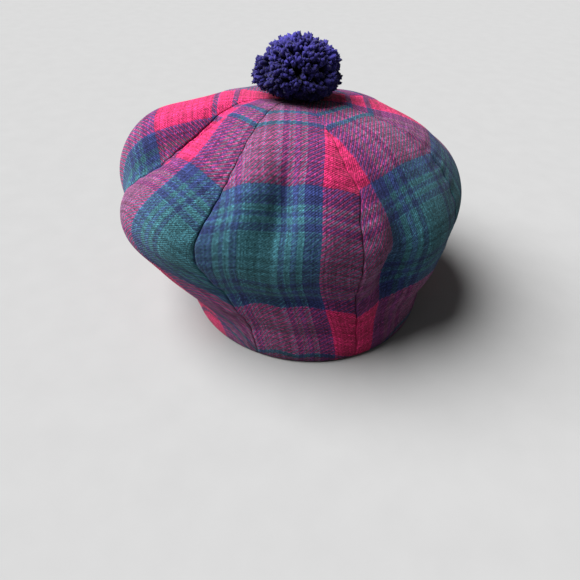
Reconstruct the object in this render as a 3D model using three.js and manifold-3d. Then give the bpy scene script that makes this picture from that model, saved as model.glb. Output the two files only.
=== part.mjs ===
import * as THREE from 'three';
import { mergeVertices } from 'three/addons/utils/BufferGeometryUtils.js';
import Module from 'manifold-3d';

// Tam o'shanter: eight tartan gores sewn from the apex to the hem, with a yarn pompom on top.
// Millimetres, +Z up, standing on its hem. The back of the hat faces -Y.
const goreCount = 8;
const seamGap = 0.3;
const clothThickness = 2;
const hemThickness = 3;
const hemDepth = 14;
const apexHole = 3;

// Middle line of a gore. Columns: distance along the cloth, distance from the crown's axis, height.
const profile = [
  { arc: 0, radius: 0, height: 147 },
  { arc: 30, radius: 29.5, height: 149 },
  { arc: 57, radius: 55, height: 144 },
  { arc: 104, radius: 95.5, height: 121 },
  { arc: 155, radius: 126, height: 84 },
  { arc: 190, radius: 114, height: 50 },
  { arc: 215, radius: 99, height: 28 },
  { arc: 243, radius: 91.5, height: 0 },
];
const rimHeight = 84;
const hemArc = 243;

// Every gore swells between its seams.
const puff = { depth: 2.4, power: 2.2, start: 25 };

// The crown sits off the middle of the head: it leans over the hem, and its top slopes.
const hemShift = { x: 15.5, y: -20 };
const topSlope = { x: 0, y: -0.1 };

// Valleys and swells pressed in along the cloth's normal. Columns: direction in degrees from -Y
// toward +X, half width in degrees, distance along the cloth, half length, depth (swells are negative).
const folds = [
  { direction: -63, width: 9, arc: 84, length: 32, depth: 13 },
  { direction: -70, width: 6, arc: 120, length: 22, depth: 8 },
  { direction: -77, width: 6, arc: 145, length: 20, depth: 6 },
  { direction: -56, width: 10, arc: 150, length: 30, depth: -4 },
  { direction: -40, width: 12, arc: 110, length: 40, depth: -3 },
  { direction: -108, width: 8, arc: 125, length: 40, depth: 6 },
  { direction: -10, width: 5, arc: 148, length: 26, depth: 5 },
  { direction: -4, width: 5, arc: 114, length: 20, depth: 5 },
  { direction: 36, width: 7, arc: 178, length: 32, depth: 8 },
  { direction: 38, width: 6, arc: 140, length: 45, depth: 5 },
  { direction: 90, width: 8, arc: 185, length: 36, depth: 7 },
  { direction: 135, width: 9, arc: 140, length: 45, depth: 6 },
  { direction: 178, width: 10, arc: 165, length: 40, depth: 7 },
];

// Wide stretches of cloth pushed out and up. Columns as above, with the push in millimetres.
const slumps = [
  { direction: -95, width: 22, arc: 112, length: 40, out: 3, up: 13 },
  { direction: 0, width: 34, arc: 170, length: 42, out: -13, up: 0 },
  { direction: 80, width: 30, arc: 105, length: 45, out: 2, up: 5 },
];

// Seams pulled sideways. Columns as above, with the turn in degrees.
const pulls = [
  { direction: -40, width: 24, arc: 150, length: 34, turn: -10 },
  { direction: 22.5, width: 10, arc: 106, length: 12, turn: 3 },
];

const mesh = { across: 9, along: 24 };

const pompom = {
  radius: 31,
  rise: 23.5,
  sag: 17,
  coreShare: 0.8,
  coreSides: 14,
  coreRings: 8,
  lift: 1,
  shiftX: 3,
  locks: 58,
  lockRadius: 5,
  lockSides: 5,
  rootShare: 0.6,
  lowest: -0.45,
  ragged: 0.06,
};

const wool = new THREE.MeshStandardMaterial({ color: 0x5a3350, roughness: 0.95, metalness: 0 });
const yarn = new THREE.MeshStandardMaterial({ color: 0x2a2668, roughness: 0.95, metalness: 0 });

const goreAngle = 360 / goreCount;
const middleLine = new THREE.CubicInterpolant(
  profile.map((row) => row.arc),
  profile.flatMap((row) => [row.radius, row.height]),
  2,
  new Float64Array(2),
);

const bell = (x) => Math.exp(-x * x);

// Share of a fold, slump or pull that is felt at a place on the cloth, fading out toward the hem.
function share(row, direction, arc) {
  const turn = THREE.MathUtils.euclideanModulo(direction - row.direction + 180, 360) - 180;
  const held = THREE.MathUtils.smoothstep(hemArc - arc, 0, 2 * hemDepth);
  return held * bell(turn / row.width) * bell((arc - row.arc) / row.length);
}

function profilePoint(arc) {
  const [radius, height] = middleLine.evaluate(THREE.MathUtils.clamp(arc, 0, hemArc));
  return new THREE.Vector2(radius, height);
}

// A place on the cloth's outer face: across runs from seam to seam as -1 to 1.
function clothPoint(gore, across, arc) {
  let direction = (gore + across / 2) * goreAngle;
  for (const pull of pulls) direction += pull.turn * share(pull, direction, arc);

  const along = profilePoint(arc + 1).sub(profilePoint(arc - 1)).normalize();
  const swell = Math.sin(Math.PI * THREE.MathUtils.clamp((arc - puff.start) / (hemArc - puff.start), 0, 1));
  let rise = puff.depth * swell * (1 - Math.abs(across) ** puff.power);
  for (const fold of folds) rise -= fold.depth * share(fold, direction, arc);

  const section = profilePoint(arc).add(new THREE.Vector2(-along.y, along.x).multiplyScalar(rise));
  for (const slump of slumps) {
    const amount = share(slump, direction, arc);
    section.add(new THREE.Vector2(slump.out, slump.up).multiplyScalar(amount));
  }

  const angle = THREE.MathUtils.degToRad(direction);
  const lean = 1 - THREE.MathUtils.smoothstep(section.y, 0, rimHeight);
  const top = THREE.MathUtils.clamp((section.y - rimHeight) / (profile[0].height - rimHeight), 0, 1);
  const x = section.x * Math.sin(angle) + hemShift.x * lean;
  const y = -section.x * Math.cos(angle) + hemShift.y * lean;
  return new THREE.Vector3(x, y, section.y + top * (topSlope.x * x + topSlope.y * y));
}

function clothNormal(gore, across, arc) {
  const step = 0.02;
  const sideways = clothPoint(gore, across + step, arc).sub(clothPoint(gore, across - step, arc));
  const downward = clothPoint(gore, across, arc + 1).sub(clothPoint(gore, across, arc - 1));
  return downward.cross(sideways).normalize();
}

// Closed wall over a grid of outer points and the matching inner ones.
function wallGeometry(outer, inner, columns, rows) {
  const positions = [...outer, ...inner].flatMap((point) => point.toArray());
  const indices = [];
  const quad = (a, b, c, d) => indices.push(a, b, c, a, c, d);
  const out = (column, row) => row * (columns + 1) + column;
  const back = (column, row) => outer.length + out(column, row);
  for (let row = 0; row < rows; row++) {
    for (let column = 0; column < columns; column++) {
      quad(out(column, row), out(column, row + 1), out(column + 1, row + 1), out(column + 1, row));
      quad(back(column, row), back(column + 1, row), back(column + 1, row + 1), back(column, row + 1));
    }
    quad(out(0, row), back(0, row), back(0, row + 1), out(0, row + 1));
    quad(out(columns, row + 1), back(columns, row + 1), back(columns, row), out(columns, row));
  }
  for (let column = 0; column < columns; column++) {
    quad(out(column, 0), out(column + 1, 0), back(column + 1, 0), back(column, 0));
    quad(out(column + 1, rows), out(column, rows), back(column, rows), back(column + 1, rows));
  }
  const geometry = new THREE.BufferGeometry();
  geometry.setAttribute('position', new THREE.Float32BufferAttribute(positions, 3));
  geometry.setIndex(indices);
  return geometry;
}

function goreMesh(gore) {
  const outer = [];
  const inner = [];
  for (let row = 0; row <= mesh.along; row++) {
    const arc = apexHole + ((hemArc - apexHole) * row) / mesh.along;
    const halfWidth = profilePoint(arc).x * Math.sin(THREE.MathUtils.degToRad(goreAngle / 2));
    const edge = 1 - seamGap / 2 / halfWidth;
    const turned = THREE.MathUtils.smoothstep(arc, hemArc - hemDepth, hemArc);
    const thickness = THREE.MathUtils.lerp(clothThickness, hemThickness, turned);
    for (let column = 0; column <= mesh.across; column++) {
      const across = edge * ((2 * column) / mesh.across - 1);
      const point = clothPoint(gore, across, arc);
      const inward = clothNormal(gore, across, arc).negate();
      if (row === mesh.along) inward.setZ(0).normalize();
      outer.push(point);
      inner.push(point.clone().addScaledVector(inward, thickness));
    }
  }
  const piece = new THREE.Mesh(wallGeometry(outer, inner, mesh.across, mesh.along), wool);
  piece.name = `gore_${gore + 1}`;
  return piece;
}

const wasm = await Module();
wasm.setup();

function solid(geometry) {
  geometry.deleteAttribute('normal');
  geometry.deleteAttribute('uv');
  const merged = mergeVertices(geometry, 0.001);
  const triVerts = new Uint32Array(merged.index.array);
  const vertProperties = new Float32Array(merged.attributes.position.array);
  return new wasm.Manifold(new wasm.Mesh({ numProp: 3, vertProperties, triVerts }));
}

// One lock of yarn ends: a short post that widens outward from the middle of the pompom.
function lockSolid(direction, length) {
  const root = pompom.lockRadius * pompom.rootShare;
  const lock = new THREE.CylinderGeometry(pompom.lockRadius, root, length, pompom.lockSides);
  lock.translate(0, length / 2, 0);
  const turn = new THREE.Quaternion().setFromUnitVectors(new THREE.Vector3(0, 1, 0), direction);
  lock.applyQuaternion(turn);
  return solid(lock);
}

// The pompom is flatter below its middle, where it is pressed on the crown.
const pompomHeight = (rise) => rise * (rise > 0 ? pompom.rise : pompom.sag);

function pompomMesh() {
  const coreRadius = pompom.radius * pompom.coreShare;
  const core = new THREE.SphereGeometry(1, pompom.coreSides, pompom.coreRings);
  core.scale(coreRadius, coreRadius, 1);
  const points = core.attributes.position;
  for (let index = 0; index < points.count; index++) points.setZ(index, pompomHeight(points.getZ(index)));
  let body = solid(core);
  const goldenTurn = Math.PI * (3 - Math.sqrt(5));
  for (let index = 0; index < pompom.locks; index++) {
    const rise = THREE.MathUtils.lerp(1, pompom.lowest, (index + 0.5) / pompom.locks);
    const spread = Math.sqrt(1 - rise * rise);
    const angle = index * goldenTurn;
    const tip = new THREE.Vector3(
      pompom.radius * spread * Math.cos(angle),
      pompom.radius * spread * Math.sin(angle),
      pompomHeight(rise),
    );
    const ragged = 1 - pompom.ragged * (index % 3);
    body = body.add(lockSolid(tip.clone().normalize(), tip.length() * ragged));
  }
  const { vertProperties, triVerts } = body.getMesh();
  const geometry = new THREE.BufferGeometry();
  geometry.setAttribute('position', new THREE.BufferAttribute(vertProperties, 3));
  geometry.setIndex(new THREE.BufferAttribute(triVerts, 1));
  const piece = new THREE.Mesh(geometry, yarn);
  piece.name = 'pompom';
  piece.position.set(pompom.shiftX, 0, profile[0].height + pompom.lift + pompom.sag);
  return piece;
}

const tam = new THREE.Group();
for (let gore = 0; gore < goreCount; gore++) tam.add(goreMesh(gore));
tam.add(pompomMesh());

// The origin is under the middle of the whole hat, on the plane of the hem.
const middle = new THREE.Box3().setFromObject(tam).getCenter(new THREE.Vector3());
tam.position.set(-middle.x, -middle.y, 0);

export default tam;
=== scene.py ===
import math
import random

import bmesh
import bpy
import numpy as np
from mathutils import Euler, Matrix, Vector


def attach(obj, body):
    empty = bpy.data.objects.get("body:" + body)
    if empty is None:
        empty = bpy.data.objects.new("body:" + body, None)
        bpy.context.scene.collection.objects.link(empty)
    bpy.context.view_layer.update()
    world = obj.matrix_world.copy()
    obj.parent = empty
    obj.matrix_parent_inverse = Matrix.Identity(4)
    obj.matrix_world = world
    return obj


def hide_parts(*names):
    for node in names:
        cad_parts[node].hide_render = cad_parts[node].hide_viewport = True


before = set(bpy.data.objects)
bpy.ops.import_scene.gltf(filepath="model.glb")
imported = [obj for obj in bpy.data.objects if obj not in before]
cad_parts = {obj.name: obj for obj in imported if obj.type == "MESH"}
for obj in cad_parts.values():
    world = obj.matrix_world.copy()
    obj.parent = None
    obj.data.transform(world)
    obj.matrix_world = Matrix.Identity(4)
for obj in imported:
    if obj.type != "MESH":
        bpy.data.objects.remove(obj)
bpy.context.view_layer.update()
mm = 0.001
print("frame loaded:", len(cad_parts), "nodes")

# crown shape, sizes in mm, along a gore's middle line from the apex to the hem
crown = dict(
    gores=8,
    axis=(1.36, -3.60),  # where the crown's axis stands
    arcs=(0, 30, 57, 104, 155, 190, 215, 243),
    radii=(0, 29.5, 55, 95.5, 126, 114, 99, 91.5),
    heights=(147, 149, 144, 121, 84, 50, 28, 0),
    rimHeight=84,
    hemArc=243,
    puff=2.4,
    puffPower=2.2,
    puffStart=25,
    hemShift=(15.5, -20),  # the crown leans over the hem
    topSlope=(0, -0.1),
    settle=28,  # folds fade out over this much cloth above the hem
)
goreAngle = 360 / crown["gores"]

# valleys pressed into the cloth: direction and half width in degrees, arc, half length, depth
folds = (
    (-63, 9, 84, 32, 13),
    (-70, 6, 120, 22, 8),
    (-77, 6, 145, 20, 6),
    (-56, 10, 150, 30, -4),
    (-40, 12, 110, 40, -3),
    (-108, 8, 125, 40, 6),
    (-1, 4.5, 100, 15, 5),
    (-3, 4.5, 120, 15, 5.5),
    (-7, 6, 142, 18, 3),
    (-15, 6, 112, 26, -3.5),
    (0, 30, 185, 10, 4),
    (36, 6.5, 176, 30, 12),
    (37, 6, 140, 40, 7),
    (90, 8, 185, 36, 7),
    (135, 9, 140, 45, 6),
    (178, 10, 165, 40, 7),
)
# wide stretches pushed over: direction, half width, arc, half length, out, up
slumps = (
    (-95, 22, 112, 40, 3, 13),
    (0, 34, 170, 42, -13, 0),
    (80, 30, 105, 45, 2, 5),
)
# seams pulled sideways: direction, half width, arc, half length, turn in degrees
pulls = ((-40, 24, 150, 34, -10), (22.5, 10, 106, 12, 3))


def smoothStep(x, low, high):
    t = np.clip((x - low) / (high - low), 0, 1)
    return t * t * (3 - 2 * t)


def curveThrough(xs, ys, x):
    # cubic through the rows, with slopes shared between neighbours
    xs = np.array(xs, float)
    ys = np.array(ys, float)
    gaps = np.diff(xs)
    slopes = np.diff(ys) / gaps
    shared = (slopes[:-1] * gaps[1:] + slopes[1:] * gaps[:-1]) / (gaps[1:] + gaps[:-1])
    tangents = np.concatenate([slopes[:1], shared, slopes[-1:]])
    x = np.clip(x, xs[0], xs[-1])
    i = np.clip(np.searchsorted(xs, x) - 1, 0, len(gaps) - 1)
    h = gaps[i]
    s = (x - xs[i]) / h
    start = (2 * s**3 - 3 * s**2 + 1) * ys[i] + (s**3 - 2 * s**2 + s) * h * tangents[i]
    return start + (3 * s**2 - 2 * s**3) * ys[i + 1] + (s**3 - s**2) * h * tangents[i + 1]


def feltAt(row, direction, arc):
    # share of a fold that is felt at a place, fading out toward the hem
    turn = (direction - row[0] + 180) % 360 - 180
    held = smoothStep(crown["hemArc"] - arc, 0, crown["settle"])
    return held * np.exp(-((turn / row[1]) ** 2)) * np.exp(-(((arc - row[2]) / row[3]) ** 2))


def radiusAt(arc):
    return curveThrough(crown["arcs"], crown["radii"], arc)


def heightAt(arc):
    return curveThrough(crown["arcs"], crown["heights"], arc)


def clothPoint(gore, across, arc, puffShare=1.0):
    # a place on the cloth's outer face, in mm: across runs from seam to seam as -1 to 1
    direction = (gore + across / 2) * goreAngle
    for row in pulls:
        direction = direction + row[4] * feltAt(row, direction, arc)
    radius = radiusAt(arc)
    height = heightAt(arc)
    outward = radiusAt(arc + 1) - radiusAt(arc - 1)
    upward = heightAt(arc + 1) - heightAt(arc - 1)
    length = np.hypot(outward, upward)
    pastStart = (arc - crown["puffStart"]) / (crown["hemArc"] - crown["puffStart"])
    swell = np.sin(np.pi * np.clip(pastStart, 0, 1))
    rise = puffShare * crown["puff"] * swell * (1 - np.abs(across) ** crown["puffPower"])
    for row in folds:
        rise = rise - row[4] * feltAt(row, direction, arc)
    radius = radius - rise * upward / length
    height = height + rise * outward / length
    for row in slumps:
        felt = feltAt(row, direction, arc)
        radius = radius + row[4] * felt
        height = height + row[5] * felt
    angle = np.radians(direction)
    lean = 1 - smoothStep(height, 0, crown["rimHeight"])
    x = radius * np.sin(angle) + crown["hemShift"][0] * lean
    y = -radius * np.cos(angle) + crown["hemShift"][1] * lean
    top = np.clip((height - crown["rimHeight"]) / (crown["heights"][0] - crown["rimHeight"]), 0, 1)
    z = height + top * (crown["topSlope"][0] * x + crown["topSlope"][1] * y)
    return np.stack([x + crown["axis"][0], y + crown["axis"][1], z], -1)


def unit(vectors):
    return vectors / np.maximum(np.linalg.norm(vectors, axis=-1, keepdims=True), 1e-9)


def clothNormal(gore, across, arc):
    # normal of the cloth without the swell between seams, so that both sides of a seam agree
    step = 0.02
    sideways = clothPoint(gore, across + step, arc, 0) - clothPoint(gore, across - step, arc, 0)
    downward = clothPoint(gore, across, arc + 1, 0) - clothPoint(gore, across, arc - 1, 0)
    return unit(np.cross(downward, sideways))


# node helpers shared by the materials
def newMaterial(name, roughness):
    material = bpy.data.materials.new(name)
    material.use_nodes = True
    tree = material.node_tree
    shader = tree.nodes["Principled BSDF"]
    shader.inputs["Roughness"].default_value = roughness
    return material, tree, shader


def plug(tree, socket, value):
    if isinstance(value, bpy.types.NodeSocket):
        tree.links.new(value, socket)
    else:
        socket.default_value = value


def maths(tree, operation, a, b=0.0, c=0.0):
    node = tree.nodes.new("ShaderNodeMath")
    node.operation = operation
    plug(tree, node.inputs[0], a)
    plug(tree, node.inputs[1], b)
    plug(tree, node.inputs[2], c)
    return node.outputs[0]


def mixColours(tree, blend, share, a, b):
    node = tree.nodes.new("ShaderNodeMix")
    node.data_type = "RGBA"
    node.blend_type = blend
    plug(tree, node.inputs["Factor"], share)
    plug(tree, node.inputs["A"], a)
    plug(tree, node.inputs["B"], b)
    return node.outputs["Result"]


def blended(tree, colour):
    # threads blend as roots, darker than an even mix of light
    node = tree.nodes.new("ShaderNodeGamma")
    node.inputs["Gamma"].default_value = tartan["blend"]
    plug(tree, node.inputs["Color"], colour)
    return node.outputs["Color"]


def spread(tree, value, low, high, newLow, newHigh):
    node = tree.nodes.new("ShaderNodeMapRange")
    plug(tree, node.inputs["Value"], value)
    node.inputs["From Min"].default_value = low
    node.inputs["From Max"].default_value = high
    node.inputs["To Min"].default_value = newLow
    node.inputs["To Max"].default_value = newHigh
    return node.outputs["Result"]


def shaded(tree, colour, value, low, high, shades):
    # darken or lighten a colour as a value runs from low to high
    return mixColours(tree, "MULTIPLY", 1.0, colour, spread(tree, value, low, high, *shades))


def roughened(tree, shader, height, look):
    bump = tree.nodes.new("ShaderNodeBump")
    bump.inputs["Strength"].default_value = look["bumpStrength"]
    bump.inputs["Distance"].default_value = look["bumpDepth"] * mm
    plug(tree, bump.inputs["Height"], height)
    plug(tree, shader.inputs["Normal"], bump.outputs["Normal"])
    shader.inputs["Sheen Weight"].default_value = look["sheen"]
    shader.inputs["Sheen Roughness"].default_value = 0.5
    shader.inputs["Specular IOR Level"].default_value = look["gloss"]


def noiseAt(tree, vector, scale, detail=2.0, roughness=0.5):
    node = tree.nodes.new("ShaderNodeTexNoise")
    plug(tree, node.inputs["Vector"], vector)
    node.inputs["Scale"].default_value = scale
    node.inputs["Detail"].default_value = detail
    node.inputs["Roughness"].default_value = roughness
    return node.outputs["Fac"]


def wander(tree, place, pattern, scale, reach):
    # shift a place by up to half the reach, following a noise pattern
    noise = tree.nodes.new("ShaderNodeTexNoise")
    noise.inputs["Scale"].default_value = scale
    plug(tree, noise.inputs["Vector"], pattern)
    shift = tree.nodes.new("ShaderNodeVectorMath")
    shift.operation = "MULTIPLY_ADD"
    plug(tree, shift.inputs[0], noise.outputs["Color"])
    shift.inputs[1].default_value = (reach, reach, 0)
    plug(tree, shift.inputs[2], place)
    return shift.outputs["Vector"]


def threadShade(tree, number, salt):
    node = tree.nodes.new("ShaderNodeTexWhiteNoise")
    node.noise_dimensions = "1D"
    plug(tree, node.inputs["W"], maths(tree, "ADD", number, salt))
    return node.outputs["Value"]


def crossing(tree, warpNumber, weftNumber):
    # a random share for each place where two threads cross
    both = tree.nodes.new("ShaderNodeCombineXYZ")
    plug(tree, both.inputs["X"], warpNumber)
    plug(tree, both.inputs["Y"], weftNumber)
    node = tree.nodes.new("ShaderNodeTexWhiteNoise")
    node.noise_dimensions = "2D"
    plug(tree, node.inputs["Vector"], both.outputs["Vector"])
    return node.outputs["Value"]


# tartan wool: the sett is charted in mm from the middle of the crimson to the middle of the green
tartan = dict(
    crimson=(0.40, 0.015, 0.086, 1),
    green=(0.026, 0.098, 0.122, 1),
    navy=(0.017, 0.026, 0.100, 1),
    shade=(0.019, 0.038, 0.108, 1),
    line=(0.018, 0.036, 0.088, 1),
    lint=(0.55, 0.52, 0.56, 1),
    crimsonHalf=52,
    halfSettAcross=91,
    halfSettDown=96.5,  # the rows are woven a little longer than the columns are wide
    stripes=((0, "crimson"), (5, "line"), (9, "crimson"), (52, "navy"), (63, "green"), (67, "shade"),
             (70.5, "green"), (74.5, "shade"), (78.5, "green")),
    warpPitch=0.95,  # spacing of the threads
    weftPitch=0.78,
    rowPivot=46.5,  # middle of the crimson row nearest the apex
    blend=5,
    twillLow=0.30,  # share of weft seen on and off the twill line
    twillHigh=0.70,
    drift=(0.07, 1.6),  # slow wandering of the threads: noise scale, reach in mm
    fray=(1.3, 0.7),
    threadShades=(0.88, 1.10),  # from the darkest thread to the palest
    # painted shade in the twill's grooves and painted light on its ridge tops
    paintedTwillShade=(0.5, 1.15),
    grainShades=(0.6, 1.4),
    fuzzShades=(0.45, 1.55),
    lintShare=0.5,
    bumpStrength=0.6,
    bumpDepth=0.4,
    sheen=0.05,
    gloss=0.12,
)


def settColour(tree, place, halfSett):
    ramp = tree.nodes.new("ShaderNodeValToRGB")
    ramp.color_ramp.interpolation = "CONSTANT"
    stops = ramp.color_ramp.elements
    while len(stops) < len(tartan["stripes"]):
        stops.new(0.5)
    for stop, (start, colour) in zip(stops, tartan["stripes"]):
        stop.position = start / halfSett
    for stop, (start, colour) in zip(stops, tartan["stripes"]):
        stop.color = [part ** (1 / tartan["blend"]) for part in tartan[colour]]
    folded = maths(tree, "PINGPONG", place, halfSett)
    plug(tree, ramp.inputs["Fac"], maths(tree, "DIVIDE", folded, halfSett))
    return ramp.outputs["Color"]


def tartanWool():
    material, tree, shader = newMaterial("tartanWool", 0.9)
    cloth = tree.nodes.new("ShaderNodeUVMap")
    cloth.uv_map = "cloth"
    onCloth = cloth.outputs["UV"]
    # threads wander slowly, and fray a little
    onCloth = wander(tree, onCloth, onCloth, *tartan["drift"])
    onCloth = wander(tree, onCloth, onCloth, *tartan["fray"])
    split = tree.nodes.new("ShaderNodeSeparateXYZ")
    plug(tree, split.inputs[0], onCloth)
    warpPlace = maths(tree, "DIVIDE", split.outputs["X"], tartan["warpPitch"])
    weftPlace = maths(tree, "DIVIDE", split.outputs["Y"], tartan["weftPitch"])
    warpNumber = maths(tree, "FLOOR", warpPlace)
    weftNumber = maths(tree, "FLOOR", weftPlace)
    acrossCloth = maths(tree, "MULTIPLY", warpNumber, tartan["warpPitch"])
    downCloth = maths(tree, "MULTIPLY", weftNumber, tartan["weftPitch"])
    warp = settColour(tree, acrossCloth, tartan["halfSettAcross"])
    weft = settColour(tree, downCloth, tartan["halfSettDown"])
    warp = shaded(tree, warp, threadShade(tree, warpNumber, 3.7), 0, 1, tartan["threadShades"])
    weft = shaded(tree, weft, threadShade(tree, weftNumber, 9.1), 0, 1, tartan["threadShades"])
    # two over, two under: the step between neighbours makes the diagonal
    diagonal = maths(tree, "SUBTRACT", weftPlace, warpPlace)
    wave = maths(tree, "SINE", maths(tree, "MULTIPLY", diagonal, math.pi / 2))
    over = spread(tree, wave, -0.7, 0.7, tartan["twillLow"], tartan["twillHigh"])
    colour = blended(tree, mixColours(tree, "MIX", over, warp, weft))
    ridge = maths(tree, "ABSOLUTE", wave)
    # painted shade: grooves between twill ridges are darkened, and ridge tops are lightened
    colour = shaded(tree, colour, ridge, 0, 0.9, tartan["paintedTwillShade"])
    grain = crossing(tree, warpNumber, weftNumber)
    colour = shaded(tree, colour, grain, 0, 1, tartan["grainShades"])
    fuzz = noiseAt(tree, cloth.outputs["UV"], 0.9, 4.0, 0.8)
    colour = shaded(tree, colour, fuzz, 0.3, 0.7, tartan["fuzzShades"])
    lint = noiseAt(tree, cloth.outputs["UV"], 0.8, 5.0, 0.85)
    lint = spread(tree, lint, 0.66, 0.80, 0.0, tartan["lintShare"])
    colour = mixColours(tree, "MIX", lint, colour, tartan["lint"])
    plug(tree, shader.inputs["Base Color"], colour)
    roughened(tree, shader, maths(tree, "MULTIPLY_ADD", fuzz, 2.5, ridge), tartan)
    return material


# gores: where the crimson column's edge falls on each one, in mm from its middle, and on which side
goreCuts = (
    dict(name="goreBack", node="gore_1", side=1, edge=20.5),
    dict(name="goreBackRight", node="gore_2", side=-1, edge=25),
    dict(name="goreRight", node="gore_3", side=1, edge=-10),
    dict(name="goreFrontRight", node="gore_4", side=-1, edge=26),
    dict(name="goreFront", node="gore_5", side=1, edge=26),
    dict(name="goreFrontLeft", node="gore_6", side=-1, edge=30),
    dict(name="goreLeft", node="gore_7", side=-1, edge=-22),
    # pulled off the grain near the apex
    dict(name="goreBackLeft", node="gore_8", side=-1, edge=-7, skew=17),
)
goreWork = dict(
    across=52,
    along=150,
    thickness=1.5,
    apexHole=1.5,
    seamGap=0.06,
    roll=1.3,  # width of the rounded edge beside a seam
    sink=0.35,  # how deep the seam lies
    allowance=6,  # cloth turned in along each seam
    leastAllowance=0.6,  # at the apex and the hem
    allowanceShare=0.09,  # share of the grid that it takes
    hemRadius=1.8,  # of the fold at the hem's edge
    hemTurn=14,  # cloth turned up inside the hem
    hemShare=0.08,
    pucker=0.45,
    puckerLength=13,
    puckerReach=9,
    edgePinch=1.25,  # packs the grid toward the seams
    skewFade=(35, 95),  # where along the gore a skewed grain runs straight again
)
# slow unevenness of the cloth: waves as (x, y, z turns per metre, start, height in mm)
waves = (
    (9, 4, 3, 0.4, 0.7),
    (-5, 11, 6, 1.9, 0.6),
    (14, -9, 8, 4.2, 0.45),
    (-17, -13, 15, 2.7, 0.35),
    (24, 19, -21, 5.5, 0.2),
)


def unevenness(points):
    total = 0
    for a, b, c, start, height in waves:
        turns = (points[..., 0] * a + points[..., 1] * b + points[..., 2] * c) * mm
        total = total + height * np.sin(2 * np.pi * turns + start)
    return total


def goreCloth(index, gridX, gridY):
    # a grid of -1 to 1 both ways, laid on the crown with its seams turned in and its hem turned up
    work = goreWork
    down = (1 - gridY) / 2
    turnRadius = work["hemRadius"]
    lastArc = crown["hemArc"] - turnRadius
    clothShare = np.clip(down / (1 - work["hemShare"]), 0, 1)
    arc = work["apexHole"] + (lastArc - work["apexHole"]) * clothShare
    hemLength = np.pi * turnRadius + work["hemTurn"]
    turned = np.clip((down - 1 + work["hemShare"]) / work["hemShare"], 0, 1) * hemLength

    # across the gore: seam to seam, then the allowance turned in
    side = np.abs(gridX)
    halfWidth = np.maximum(radiusAt(arc) * math.sin(math.radians(goreAngle / 2)), 0.5)
    edge = 1 - work["seamGap"] / halfWidth
    inner = 1 - work["allowanceShare"]
    inside = 1 - (1 - np.clip(side / inner, 0, 1)) ** work["edgePinch"]
    across = np.sign(gridX) * inside * edge
    taper = smoothStep(arc, 10, 45) * (1 - smoothStep(arc, lastArc - 24, lastArc - 8))
    allowance = work["leastAllowance"] + work["allowance"] * taper
    tucked = np.clip((side - inner) / (1 - inner), 0, 1) * allowance

    # rolled seam edges, puckers beside them, and slow unevenness all over
    points = clothPoint(index, across, arc)
    normals = clothNormal(index, across, arc)
    fromSeam = (1 - inside) * halfWidth
    rolled = np.clip(1 - fromSeam / work["roll"], 0, 1)
    drop = work["sink"] * smoothStep(arc, 4, 20) * (1 - np.sqrt(1 - rolled**2)) + tucked
    pucker = np.sin(2 * np.pi * arc / work["puckerLength"] + 2.1 * np.sin(arc / 17))
    pucker = pucker * np.exp(-((fromSeam / work["puckerReach"]) ** 2))
    settled = smoothStep(crown["hemArc"] - arc, 4, 30) * smoothStep(arc, 10, 60)
    lift = settled * (work["pucker"] * pucker + unevenness(points)) - drop
    points = points + normals * lift[..., None]

    # the hem: a half circle under the edge, then straight up inside
    level = unit(normals * (1, 1, 0))
    upward = unit(clothPoint(index, across, arc - 2, 0) - clothPoint(index, across, arc, 0))
    bend = np.clip(turned / turnRadius, 0, np.pi)[..., None]
    climb = np.maximum(turned - np.pi * turnRadius, 0)[..., None]
    return points + turnRadius * (level * (np.cos(bend) - 1) - upward * np.sin(bend)) + upward * climb


def layFlat(points):
    # distance from the gore's middle line, and down it
    rows, columns = points.shape[:2]
    stepAcross = np.linalg.norm(np.diff(points, axis=1), axis=2)
    sideways = np.concatenate([np.zeros((rows, 1)), np.cumsum(stepAcross, axis=1)], axis=1)
    sideways = sideways - sideways[:, columns // 2 : columns // 2 + 1]
    stepDown = np.linalg.norm(np.diff(points, axis=0), axis=2)
    straight = stepDown**2 - np.diff(sideways, axis=0) ** 2
    stepDown = np.sqrt(np.maximum(straight, (0.5 * stepDown) ** 2))
    lengthwise = np.concatenate([np.zeros((1, columns)), np.cumsum(stepDown, axis=0)])
    return sideways, goreWork["apexHole"] + lengthwise


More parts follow.
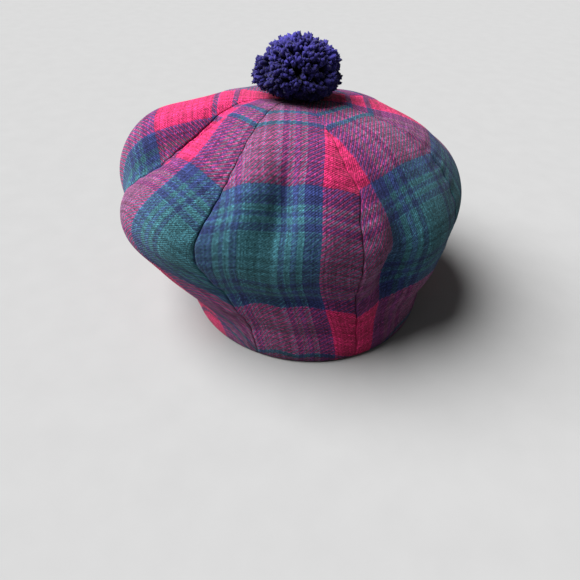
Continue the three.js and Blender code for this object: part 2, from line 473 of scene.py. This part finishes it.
def makeGore(index, cut, material):
    work = goreWork
    columns = work["across"] + 1
    rows = work["along"] + 1
    bm = bmesh.new()
    bmesh.ops.create_grid(bm, x_segments=work["across"], y_segments=work["along"], size=1)
    bm.verts.ensure_lookup_table()
    flat = np.array([v.co[:] for v in bm.verts])
    order = np.lexsort((flat[:, 0], -flat[:, 1]))  # row by row, apex first
    gridX = flat[order, 0].reshape(rows, columns)
    gridY = flat[order, 1].reshape(rows, columns)
    points = goreCloth(index, gridX, gridY)
    sideways, lengthwise = layFlat(points)
    skew = cut.get("skew", 0) * (1 - smoothStep(lengthwise, *work["skewFade"]))
    acrossSett = cut["side"] * (tartan["crimsonHalf"] + cut["edge"]) - sideways - skew
    weave = np.stack([acrossSett, lengthwise - tartan["rowPivot"]], -1)

    uvLayer = bm.loops.layers.uv.new("cloth")
    place = np.empty((rows * columns, 3))
    place[order] = points.reshape(-1, 3) * mm
    onCloth = np.empty((rows * columns, 2))
    onCloth[order] = weave.reshape(-1, 2)
    for v, co in zip(bm.verts, place):
        v.co = co
    for face in bm.faces:
        face.smooth = True
        for loop in face.loops:
            loop[uvLayer].uv = onCloth[loop.vert.index]
    bmesh.ops.recalc_face_normals(bm, faces=bm.faces)
    bm.normal_update()
    bm.faces.ensure_lookup_table()
    middle = bm.faces[(len(bm.faces) + work["across"]) // 2]  # on the middle line, halfway down
    centre = Vector((0, 0, crown["rimHeight"] * mm))
    if middle.normal.dot(middle.calc_center_median() - centre) < 0:
        bmesh.ops.reverse_faces(bm, faces=bm.faces)
    area = sum(face.calc_area() for face in bm.faces)

    mesh = bpy.data.meshes.new(cut["name"])
    bm.to_mesh(mesh)
    bm.free()
    piece = bpy.data.objects.new(cut["name"], mesh)
    bpy.context.collection.objects.link(piece)
    mesh.materials.append(material)
    wall = piece.modifiers.new("wall", "SOLIDIFY")
    wall.thickness = work["thickness"] * mm
    wall.offset = -1
    wall.thickness_clamp = 2
    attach(piece, "root")
    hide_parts(cut["node"])
    flatWidth = float(np.ptp(sideways, axis=1).max()) * mm
    flatLength = float(lengthwise[:, columns // 2].max() - work["apexHole"]) * mm
    return piece, (flatWidth, flatLength, area)


wool = tartanWool()
for index, cut in enumerate(goreCuts):
    piece, cutSize = makeGore(index, cut, wool)
    print("gore", piece.name, "flat", [round(x, 4) for x in cutSize])


# pompom: tufts of cut yarn ends, each a short bowed strand, tied at the middle
pompom = dict(
    node="pompom",
    shift=3,  # off the crown's axis
    base=148,  # height of its flattened underside
    radius=29.5,
    rise=22,  # from its middle up
    sag=17,  # from its middle down
    tufts=80,
    endsPerTuft=19,
    tuftSpread=0.12,
    yarn=1.45,  # radius of one yarn end
    sides=6,
    rings=5,
    root=0.58,  # share of the way out where a strand begins
    heart=0.68,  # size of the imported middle
    tuftReach=(0.86, 1.04),
    endReach=(0.95, 1.03),
    endSizes=(0.75, 1.2),
    bow=2.4,  # sideways bend of an end
    tuftTone=0.6,  # share of an end's tone that its tuft gives
    stray=0.7,
    lowest=-0.92,
    seed=41,
    deep=(0.008, 0.006, 0.048, 1),
    bright=(0.036, 0.030, 0.20, 1),
    fuzzScale=900.0,
    fuzzShades=(0.5, 1.5),
    # painted shade on each end toward its root, deep inside the ball
    paintedRootShade=(0.1, 1.05),
    # painted shade toward the ball's underside
    paintedUnderShade=(0.25, 1.1),
    bumpStrength=0.6,
    bumpDepth=0.5,
    sheen=0.06,
    gloss=0.1,
)


def yarnEnd():
    # one straight end along +Z, swelling outward and frayed at the tip
    bm = bmesh.new()
    bmesh.ops.create_cone(bm, cap_ends=True, segments=pompom["sides"], radius1=1, radius2=1, depth=1)
    rim = [e for e in bm.edges if abs(e.verts[0].co.z - e.verts[1].co.z) > 0.5]
    bmesh.ops.subdivide_edges(bm, edges=rim, cuts=pompom["rings"] - 2, use_grid_fill=True)
    for v in bm.verts:
        height = v.co.z + 0.5
        angle = math.atan2(v.co.y, v.co.x)
        lobe = 1 + 0.25 * math.cos(3 * angle + 4 * height)
        swell = (0.75 + 0.4 * height) * (0.72 if height > 0.99 else 1)
        ragged = 0.06 * math.sin(2 * angle) if height > 0.99 else 0
        reach = lobe * swell
        v.co = Vector((math.cos(angle) * reach, math.sin(angle) * reach, height + ragged))
    verts = np.array([v.co[:] for v in bm.verts])
    bm.verts.index_update()
    faces = [[v.index for v in f.verts] for f in bm.faces if f.normal.z > -0.9]
    bm.free()
    return verts, faces


def pompomHeight(rise):
    # flatter below its middle, where it is pressed on the crown
    return (pompom["rise"] if rise > 0 else pompom["sag"]) * rise


def pompomTip(rise, angle):
    reach = pompom["radius"] * math.sqrt(max(1 - rise * rise, 0))
    return np.array([reach * math.cos(angle), reach * math.sin(angle), pompomHeight(rise)])


def pompomHeart():
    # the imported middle, hidden by the ends
    bm = bmesh.new()
    bmesh.ops.create_icosphere(bm, subdivisions=3, radius=1)
    for v in bm.verts:
        outer = Vector((v.co.x * pompom["radius"], v.co.y * pompom["radius"], pompomHeight(v.co.z)))
        v.co = outer * pompom["heart"]
    verts = np.array([v.co[:] for v in bm.verts])
    bm.verts.index_update()
    faces = [[v.index for v in f.verts] for f in bm.faces]
    bm.free()
    return verts, faces


def makePompom(material):
    rng = random.Random(pompom["seed"])
    middleX = crown["axis"][0] + pompom["shift"]
    centre = np.array([middleX, crown["axis"][1], pompom["base"] + pompom["sag"]])
    shape, faces = yarnEnd()
    verts = []
    polygons = []
    tones = []
    golden = math.pi * (3 - math.sqrt(5))
    for tuft in range(pompom["tufts"]):
        tuftRise = 1 + (pompom["lowest"] - 1) * (tuft + 0.5) / pompom["tufts"]
        tuftAngle = tuft * golden
        tuftReach = rng.uniform(*pompom["tuftReach"])
        tuftTone = rng.random()
        for end in range(pompom["endsPerTuft"]):
            rise = max(-0.97, min(0.995, tuftRise + rng.gauss(0, pompom["tuftSpread"] * 0.6)))
            angle = tuftAngle + rng.gauss(0, pompom["tuftSpread"]) / max(math.sqrt(1 - rise * rise), 0.3)
            tip = pompomTip(rise, angle)
            base = tip * pompom["root"]
            astray = np.array([rng.gauss(0, pompom["stray"]) for axis in range(3)])
            along = tip * tuftReach * rng.uniform(*pompom["endReach"]) + astray - base
            turn = Vector(along).to_track_quat("Z", "Y").to_matrix()
            spin = Matrix.Rotation(rng.uniform(0, 2 * math.pi), 3, "Z")
            size = pompom["yarn"] * rng.uniform(*pompom["endSizes"])
            local = shape * (size, size, np.linalg.norm(along))
            local[:, 0] += rng.uniform(-pompom["bow"], pompom["bow"]) * shape[:, 2] ** 2
            local = local @ np.array(spin).T @ np.array(turn).T + base + centre
            local[:, 2] = np.maximum(local[:, 2], pompom["base"])
            polygons += [[n + len(verts) * len(shape) for n in f] for f in faces]
            verts.append(local * mm)
            tone = pompom["tuftTone"] * tuftTone + (1 - pompom["tuftTone"]) * rng.random()
            tones.append(np.stack([np.full(len(shape), tone), shape[:, 2]], -1))
    heart, heartFaces = pompomHeart()
    polygons += [[n + len(verts) * len(shape) for n in f] for f in heartFaces]
    verts.append((heart + centre) * mm)
    # the heart takes the deep tone and the darkest painted root shade
    tones.append(np.zeros((len(heart), 2)))
    mesh = bpy.data.meshes.new("pompomYarn")
    mesh.from_pydata(np.concatenate(verts).tolist(), [], polygons)
    tone = mesh.attributes.new("yarnTone", "FLOAT", "POINT")
    tone.data.foreach_set("value", np.concatenate(tones)[:, 0].astype(np.float32))
    # how far out along each end, which sets its painted root shade
    out = mesh.attributes.new("yarnOut", "FLOAT", "POINT")
    out.data.foreach_set("value", np.concatenate(tones)[:, 1].astype(np.float32))
    mesh.shade_smooth()
    piece = bpy.data.objects.new("pompomYarn", mesh)
    bpy.context.collection.objects.link(piece)
    mesh.materials.append(material)
    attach(piece, "root")
    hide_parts(pompom["node"])
    return piece


def pompomYarn():
    material, tree, shader = newMaterial("pompomYarn", 0.9)
    tone = tree.nodes.new("ShaderNodeAttribute")
    tone.attribute_name = "yarnTone"
    out = tree.nodes.new("ShaderNodeAttribute")
    out.attribute_name = "yarnOut"
    place = tree.nodes.new("ShaderNodeTexCoord")
    colour = mixColours(tree, "MIX", tone.outputs["Fac"], pompom["deep"], pompom["bright"])
    fuzz = noiseAt(tree, place.outputs["Object"], pompom["fuzzScale"], 3.0, 0.65)
    colour = shaded(tree, colour, fuzz, 0.25, 0.75, pompom["fuzzShades"])
    # painted shade: each end is darkened toward its root, where the ball lies in shade
    colour = shaded(tree, colour, out.outputs["Fac"], 0.45, 1, pompom["paintedRootShade"])
    # painted shade: the yarn is darkened toward the ball's underside, where shade falls
    split = tree.nodes.new("ShaderNodeSeparateXYZ")
    plug(tree, split.inputs[0], place.outputs["Object"])
    low = pompom["base"] * mm
    high = (pompom["base"] + pompom["sag"] + pompom["rise"] * 0.7) * mm
    colour = shaded(tree, colour, split.outputs["Z"], low, high, pompom["paintedUnderShade"])
    plug(tree, shader.inputs["Base Color"], colour)
    roughened(tree, shader, fuzz, pompom)
    return material


yarnBall = makePompom(pompomYarn())
print("pompom:", len(yarnBall.data.polygons), "faces")


# floor, light and camera
studio = dict(
    floorHalf=6.0,
    floorColour=(0.23, 0.23, 0.23, 1),
    floorShades=(0.97, 1.0),
    skyStrength=0.14,
    backdrop=0.72,  # how pale the surroundings look
    keyFrom=(-0.60, 0.10, 0.79),
    keySpread=50,  # apparent width of the lamp, in degrees
    keyStrength=12,
)


def makeFloor():
    bm = bmesh.new()
    bmesh.ops.create_grid(bm, x_segments=1, y_segments=1, size=studio["floorHalf"])
    mesh = bpy.data.meshes.new("floor")
    bm.to_mesh(mesh)
    bm.free()
    floor = bpy.data.objects.new("floor", mesh)
    bpy.context.collection.objects.link(floor)
    material, tree, shader = newMaterial("paleFloor", 0.9)
    shader.inputs["Specular IOR Level"].default_value = 0
    place = tree.nodes.new("ShaderNodeTexCoord")
    grain = noiseAt(tree, place.outputs["Object"], 40.0, 3.0)
    colour = shaded(tree, studio["floorColour"], grain, 0.3, 0.7, studio["floorShades"])
    plug(tree, shader.inputs["Base Color"], colour)
    mesh.materials.append(material)


def makeLight():
    world = bpy.data.worlds.new("softSky")
    world.use_nodes = True
    tree = world.node_tree
    background = tree.nodes["Background"]
    background.inputs["Color"].default_value = (1, 1, 1, 1)
    # dim as a lamp, pale as a backdrop
    rays = tree.nodes.new("ShaderNodeLightPath")
    seen = rays.outputs["Is Camera Ray"]
    strength = spread(tree, seen, 0, 1, studio["skyStrength"], studio["backdrop"])
    plug(tree, background.inputs["Strength"], strength)
    bpy.context.scene.world = world
    lamp = bpy.data.lights.new("softKey", "SUN")
    lamp.angle = math.radians(studio["keySpread"])
    lamp.energy = studio["keyStrength"]
    key = bpy.data.objects.new("softKey", lamp)
    key.rotation_euler = Vector(studio["keyFrom"]).to_track_quat("Z", "Y").to_euler()
    bpy.context.collection.objects.link(key)


# the photograph's viewpoint: place in mm, angles in degrees, focal length in pixels of a 580 frame
viewpoint = dict(
    place=(1.51, -343.7, 265.8),
    down=40.84,
    turn=0.44,
    roll=1.98,
    focal=482,
    frame=580,
)


def makeCamera():
    lens = bpy.data.cameras.new("photoView")
    lens.lens = lens.sensor_width * viewpoint["focal"] / viewpoint["frame"]
    lens.clip_start = 0.01
    camera = bpy.data.objects.new("photoView", lens)
    nod = math.radians(90 - viewpoint["down"])
    tilt = Euler((nod, 0, math.radians(-viewpoint["turn"]))).to_matrix()
    roll = Matrix.Rotation(math.radians(viewpoint["roll"]), 3, "Z")
    camera.matrix_world = Matrix.Translation(Vector(viewpoint["place"]) * mm) @ (tilt @ roll).to_4x4()
    bpy.context.collection.objects.link(camera)
    bpy.context.scene.camera = camera


makeFloor()
makeLight()
makeCamera()
bpy.context.scene.view_settings.view_transform = "Standard"
print("studio ready")

bpy.context.view_layer.update()
